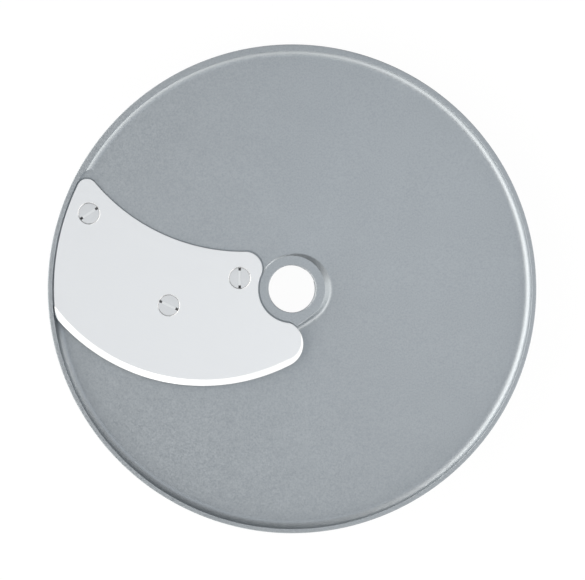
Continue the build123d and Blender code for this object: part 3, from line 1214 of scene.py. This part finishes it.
@dataclass
class Blade:
    """Sickle blade with a ground bevel along its edge and three countersunk holes."""

    plan: BladePlan
    bottom: float
    thickness: float = 1.5
    bevel_w: float = 2.6
    edge_land: float = 0.12
    edge_break: float = 0.14
    # Round the tip the bevel runs out at this direction, where its face has left the steel by the lift
    taper_end: float = 58.0
    taper_power: float = 1.35
    taper_lift: float = 0.03
    # Beyond the blade's outer end the grinding goes on for this angle
    run_out: float = 12.0
    edge_rings: int = 360
    tip_rings: int = 90
    # A countersink's faces slope: their normals rise by more than the first and less than the second
    sink_slopes: tuple[float, float] = (0.1, 0.9)
    crease: float = 20.0

    @property
    def top(self) -> float:
        """Level of the blade's upper face."""
        return self.bottom + self.thickness

    def bevel(self) -> bpy.types.Object:
        """Space ground off along the edge and, ever narrower, round the tip.

        A triangle is carried along the plan, its ground face always at one slope. Along the edge it
        reaches in by the bevel's width. Round the tip the width falls with a power of the way left.

        Returns:
            The space that the grinding takes.
        """
        plan = self.plan
        slope = (self.thickness - self.edge_land) / self.bevel_w
        first = heading(plan.edge, polar(plan.end_r, plan.edge_out_angle)) - self.run_out
        turn = heading(plan.edge, plan.tip)
        # No ring lies where the arcs meet: the blank has a point there, and slivers would be left
        along = np.linspace(first, turn, self.edge_rings, endpoint=False)
        around = np.linspace(turn, self.taper_end, self.tip_rings)[1:]
        foot = np.concatenate([
            polar(plan.edge_r, along, plan.edge), polar(plan.tip_r, around, plan.tip)
        ])
        angle = np.concatenate([along, around])
        left = np.clip((self.taper_end - angle) / (self.taper_end - turn), 0, 1)
        width = self.bevel_w * left**self.taper_power - self.taper_lift * (1 - left)
        far = np.full_like(width, CLEAR)
        out = np.stack([-width - CLEAR / slope, far, far], axis=-1)
        high = np.full_like(width, self.top + CLEAR)
        level = np.stack([high, self.top - slope * (width + far), high], axis=-1)
        flat = foot[:, None] + out[..., None] * polar(1.0, angle)[:, None]
        return loft("bevel", raised(flat, level))

    def blank(self) -> bpy.types.Object:
        """Plate of the blade, with its upper edge broken all round.

        The plan is stacked at the bottom, under the edge break and, drawn in, at the top.

        Returns:
            The blank as a closed solid.
        """
        full = self.plan.outline()
        drawn = self.plan.outline(-self.edge_break, -self.edge_break, -self.edge_break)
        share = np.linspace(0, 1, len(full), endpoint=False)
        grid = np.linspace(0, 1, len(drawn), endpoint=False)
        inner = np.stack([np.interp(share, grid, drawn[:, k], period=1.0) for k in (0, 1)], axis=-1)
        heights = np.array([[self.bottom], [self.top - self.edge_break], [self.top]])
        return loft("blade", raised(np.stack([full, full, inner]), heights))

    def build(
        self, screw: "BladeScrews", finish: GroundSteel, mouth_highlight: TurnedSteel, hole_shade: TurnedSteel
    ) -> bpy.types.Object:
        """Grind and drill the blade, and give it its finish.

        Args:
            screw: Screws whose countersinks go into the blade.
            finish: Finish of the steel.
            mouth_highlight: Finish of the countersinks above the heads, whose near-white colour is a
                painted highlight.
            hole_shade: Finish of the countersinks under the heads, whose dark colour is painted shade.

        Returns:
            The finished blade.
        """
        blade = self.blank()
        holes = [(Work.CUT, screw.hole(place)) for place in self.plan.screws]
        machine(blade, [(Work.CUT, self.bevel()), *holes])
        blade.name = "sickle_blade"
        smooth(blade, self.crease)
        dress(blade, finish.make(), "blade")
        middle, facing = faces(blade)
        near = np.min([np.hypot(*(middle[:, :2] - place).T) for place in self.plan.screws], axis=0)
        steep, level = self.sink_slopes
        sunk = (near < screw.sink_r) & (facing[:, 2] > steep) & (facing[:, 2] < level)
        above = middle[:, 2] > screw.head_top
        # The countersinks' mouths above the heads take a near-white colour: a painted highlight
        repaint(blade, mouth_highlight.make(), sunk & above)
        # The countersinks under the heads take a dark colour: painted shade
        repaint(blade, hole_shade.make(), sunk & ~above)
        return blade


@dataclass
class BladeScrews:
    """Three slotted countersunk screws, their heads a little under the face of the blade."""

    plan: BladePlan
    blade_top: float
    shank_r: float = 2.0
    length: float = 10.0
    point: float = 0.5
    head_r: float = 4.28
    head_edge: float = 0.1
    head_rim: float = 0.05
    head_below: float = 0.3
    slot_w: float = 1.05
    slot_depth: float = 1.2
    slot_angles: tuple[float, float, float] = (33.0, 90.0, -25.0)
    hole_gap: float = 0.05
    head_gap: float = 0.04
    crease: float = 30.0

    @property
    def head_top(self) -> float:
        """Level of the flat top of a head."""
        return self.blade_top - self.head_below

    @property
    def sink_r(self) -> float:
        """Radius of a countersink at the face of the blade."""
        return self.head_r + self.head_gap + self.head_below + self.head_rim

    def hole(self, place: np.ndarray) -> bpy.types.Object:
        """Hole and countersink round a screw.

        Args:
            place: Axis of the screw as x and y.

        Returns:
            The space of the hole.
        """
        hole_r = self.shank_r + self.hole_gap
        section = np.array([
            [hole_r, -CLEAR],
            [hole_r, self.blade_top - (self.sink_r - hole_r)],
            [self.sink_r - self.head_below, self.head_top],
            [self.sink_r, self.blade_top],
            [self.sink_r, self.blade_top + CLEAR],
        ])
        return lathe("screw_hole", section, place)

    def screw(self, place: np.ndarray, angle: float) -> bpy.types.Object:
        """One screw: a turned section with a slot milled across its head.

        The edge of the head is a quarter of an ellipse.

        Args:
            place: Axis of the screw as x and y.
            angle: Direction of the slot.

        Returns:
            The screw as a closed solid.
        """
        top = self.head_top
        rim_z = top - self.head_rim
        tip = top - self.length
        edge = np.column_stack([
            self.head_r - self.head_edge * (1 - np.cos(QUARTER)),
            rim_z + self.head_rim * np.sin(QUARTER),
        ])
        shank = np.array([
            [self.shank_r - self.point, tip],
            [self.shank_r, tip + self.point],
            [self.shank_r, rim_z - (self.head_r - self.shank_r)],
        ])
        screw = lathe("blade_screw", np.concatenate([shank, edge]), place)
        outline = bar(4 * self.head_r, self.slot_w, angle, place)
        slot = prism("slot", outline, top - self.slot_depth, top + CLEAR)
        machine(screw, [(Work.CUT, slot)])
        return screw

    def build(self, finish: TurnedSteel, slot_finish_and_sheen: TurnedSteel) -> bpy.types.Object:
        """Turn and slot the three screws as one group, and give them their finish.

        Args:
            finish: Finish of the steel.
            slot_finish_and_sheen: Finish of the floors of the slots, whose paler colour is a painted
                sheen.

        Returns:
            The group of screws.
        """
        first, *others = [
            self.screw(place, angle) for place, angle in zip(self.plan.screws, self.slot_angles)
        ]
        machine(first, [(Work.JOIN, other) for other in others])
        first.name = "screw_group"
        smooth(first, self.crease)
        dress(first, finish.make(), "blade_screws")
        middle, facing = faces(first)
        floor_z = self.head_top - self.slot_depth
        on_floor = (np.abs(middle[:, 2] - floor_z) < self.head_edge) & (facing[:, 2] > UPWARD)
        # The slot floors take a paler colour: a painted sheen
        repaint(first, slot_finish_and_sheen.make(), on_floor)
        return first


@dataclass(frozen=True)
class Softbox:
    """Rectangular lamp that faces the disc from a compass direction and a rise above the floor.

    The casting and the bright steel are lit apart, so that it has one radiance on each. At zero it
    does not light that metal.
    """

    name: str
    azimuth: float
    rise: float
    width: float
    height: float
    on_casting: float
    on_steel: float
    distance: float = 1000.0
    # The side lamps are a shade warmer than the overhead ones
    white: str = "#FFFBF5"

    def hang(self, radiance: float, lit: bpy.types.Collection) -> bpy.types.Object:
        """Hang the lamp for the pieces it is to light.

        A lamp of even brightness gives off its radiance times its area times pi.

        Args:
            radiance: Brightness of the lamp's face.
            lit: The pieces.

        Returns:
            The lamp.
        """
        rise = math.radians(self.rise)
        back = Vector((*polar(math.cos(rise), self.azimuth).tolist(), math.sin(rise)))
        lamp = bpy.data.lights.new(self.name, "AREA")
        lamp.shape = "RECTANGLE"
        lamp.color = linear(self.white)[:3]
        lamp.size = self.width * MM
        lamp.size_y = self.height * MM
        lamp.energy = radiance * math.pi * lamp.size * lamp.size_y
        box = bpy.data.objects.new(self.name, lamp)
        box.light_linking.receiver_collection = lit
        stand_off(box, Vector(), back, Vector((0.0, 0.0, 1.0)), self.distance)
        return box


@dataclass
class Studio:
    """White floor, softboxes round the disc and a camera almost straight above it."""

    disc_r: float
    rim_top: float
    # In pixels: the photograph's width, the disc's radius and the photograph's middle, right of and
    # below the hub
    image_w: float = 585.0
    disc_r_px: float = 244.45
    middle_px: tuple[float, float] = (0.08, 1.24)
    distance: float = 3000.0
    sight: float = 20000.0
    # Angles of the camera from the plumb line
    lean_x: float = -2.2
    lean_y: float = -0.3
    sensor: float = 36.0
    floor_half: float = 3000.0
    floor_white: str = "#F8F8F8"
    shadow_share: float = 0.04
    room_white: str = "#FFFFFF"
    room_level: float = 0.32
    # Name, direction, rise, width, height, radiance on the casting and on the steel, distance, colour
    softboxes: tuple[Softbox, ...] = (
        Softbox("overhead", 180.0, 86.0, 600.0, 600.0, 0.0, 0.88, 1300.0, "#FFFFFF"),
        Softbox("overhead_near", 35.0, 81.0, 280.0, 280.0, 0.84, 0.0, 450.0, "#F0F7FF"),
        Softbox("overhead_right", 345.0, 60.0, 650.0, 390.0, 0.5, 1.2, 650.0, "#FFFFFF"),
        Softbox("key_left", 170.0, 32.0, 1600.0, 900.0, 2.8, 1.03),
        Softbox("key_left_low", 150.0, 8.0, 2200.0, 280.0, 2.7, 1.1),
        Softbox("fill_left_front", 232.0, 26.0, 900.0, 750.0, 2.25, 1.12),
        Softbox("fill_front", 275.0, 32.0, 800.0, 600.0, 1.22, 1.15),
        Softbox("fill_right", 342.0, 26.0, 1600.0, 540.0, 2.2, 1.17),
        Softbox("fill_right_low", 336.0, 7.0, 1500.0, 210.0, 3.0, 1.1),
    )

    def camera(self) -> bpy.types.Object:
        """Camera whose middle ray meets the rim's level beside the hub, as the photograph does.

        Returns:
            The camera, set as the scene's own.
        """
        focal_px = self.disc_r_px * self.distance / self.disc_r
        scale = self.disc_r / self.disc_r_px
        aim = Vector((self.middle_px[0] * scale, -self.middle_px[1] * scale, self.rim_top)) * MM
        back = Vector((math.tan(math.radians(self.lean_x)), math.tan(math.radians(self.lean_y)), 1.0))
        back.normalize()
        lens = bpy.data.cameras.new("camera")
        lens.sensor_width = self.sensor
        lens.lens = focal_px * self.sensor / self.image_w
        lens.clip_end = self.sight * MM
        camera = bpy.data.objects.new("camera", lens)
        stand_off(camera, aim, back, Vector((0.0, 1.0, 0.0)), self.distance)
        bpy.context.scene.camera = camera
        return camera

    def floor(self) -> bpy.types.Object:
        """Plain white floor under the disc, which keeps a faint shadow.

        Returns:
            The floor.
        """
        half = self.floor_half * MM
        corners = np.array([[-1, -1, 0], [1, -1, 0], [1, 1, 0], [-1, 1, 0]]) * half
        mesh = bpy.data.meshes.new("floor")
        mesh.from_pydata(corners, [], [[0, 1, 2, 3]])
        floor = bpy.data.objects.new("floor", mesh)
        bpy.context.scene.collection.objects.link(floor)
        material = blank_material("floor_white_paint")
        tree = material.node_tree
        path = add_node(tree, "ShaderNodeLightPath").outputs
        seen = path["Is Camera Ray"]
        for ray in ("Is Glossy Ray", "Is Transmission Ray"):
            seen = add_node(
                tree, "ShaderNodeMath", {0: seen, 1: path[ray]}, operation="MAXIMUM"
            ).outputs[0]
        share = add_node(
            tree, "ShaderNodeMath", {0: seen, 1: 1 - self.shadow_share}, operation="MULTIPLY"
        ).outputs[0]
        paint = add_node(tree, "ShaderNodeBsdfDiffuse", {"Color": linear(self.floor_white)}).outputs[0]
        glow = add_node(tree, "ShaderNodeEmission", {"Strength": 1.0}).outputs[0]
        mixed = add_node(tree, "ShaderNodeMixShader", {0: share, 1: paint, 2: glow}).outputs[0]
        add_node(tree, "ShaderNodeOutputMaterial", {"Surface": mixed})
        mesh.materials.append(material)
        return floor

    def light(self, casting: Sequence[bpy.types.Object], steel: Sequence[bpy.types.Object]) -> None:
        """Soft studio light: an even pale room and softboxes round the disc.

        Args:
            casting: Matte pieces.
            steel: Bright pieces.
        """
        world = bpy.data.worlds.new("studio")
        bpy.context.scene.world = world
        world.use_nodes = True
        tree = world.node_tree
        tree.nodes.clear()
        room = add_node(
            tree, "ShaderNodeBackground",
            {"Color": linear(self.room_white), "Strength": self.room_level},
        ).outputs[0]
        add_node(tree, "ShaderNodeOutputWorld", {"Surface": room})
        matte = bpy.data.collections.new("matte_pieces")
        bright = bpy.data.collections.new("bright_pieces")
        for group, pieces in ((matte, casting), (bright, steel)):
            for piece in pieces:
                group.objects.link(piece)
        for box in self.softboxes:
            for radiance, group in ((box.on_casting, matte), (box.on_steel, bright)):
                if radiance:
                    box.hang(radiance, group)


def main() -> None:
    """Build the pieces in order, light them and report each one."""
    logging.basicConfig(level=logging.INFO, format="%(message)s")
    bpy.context.scene.view_settings.view_transform = "Standard"
    plan = BladePlan()
    disc = DiscBody(plan)
    sickle = Blade(plan, disc.seat_z)
    screws = BladeScrews(plan, sickle.top)
    body = disc.build(screws, BlastedCasting())
    blade = sickle.build(screws, GroundSteel(), CUT_MOUTH_PAINTED_HIGHLIGHT, DRILLED_HOLE_PAINTED_SHADE)
    group = screws.build(TurnedSteel(), MILLED_SLOT_PAINTED_SHEEN)
    for piece in (body, blade, group):
        LOG.info("%s: %d faces", piece.name, len(piece.data.polygons))
    studio = Studio(disc.radius, disc.height)
    studio.light([body, studio.floor()], [blade, group])
    studio.camera()


if __name__ == "__main__":
    main()
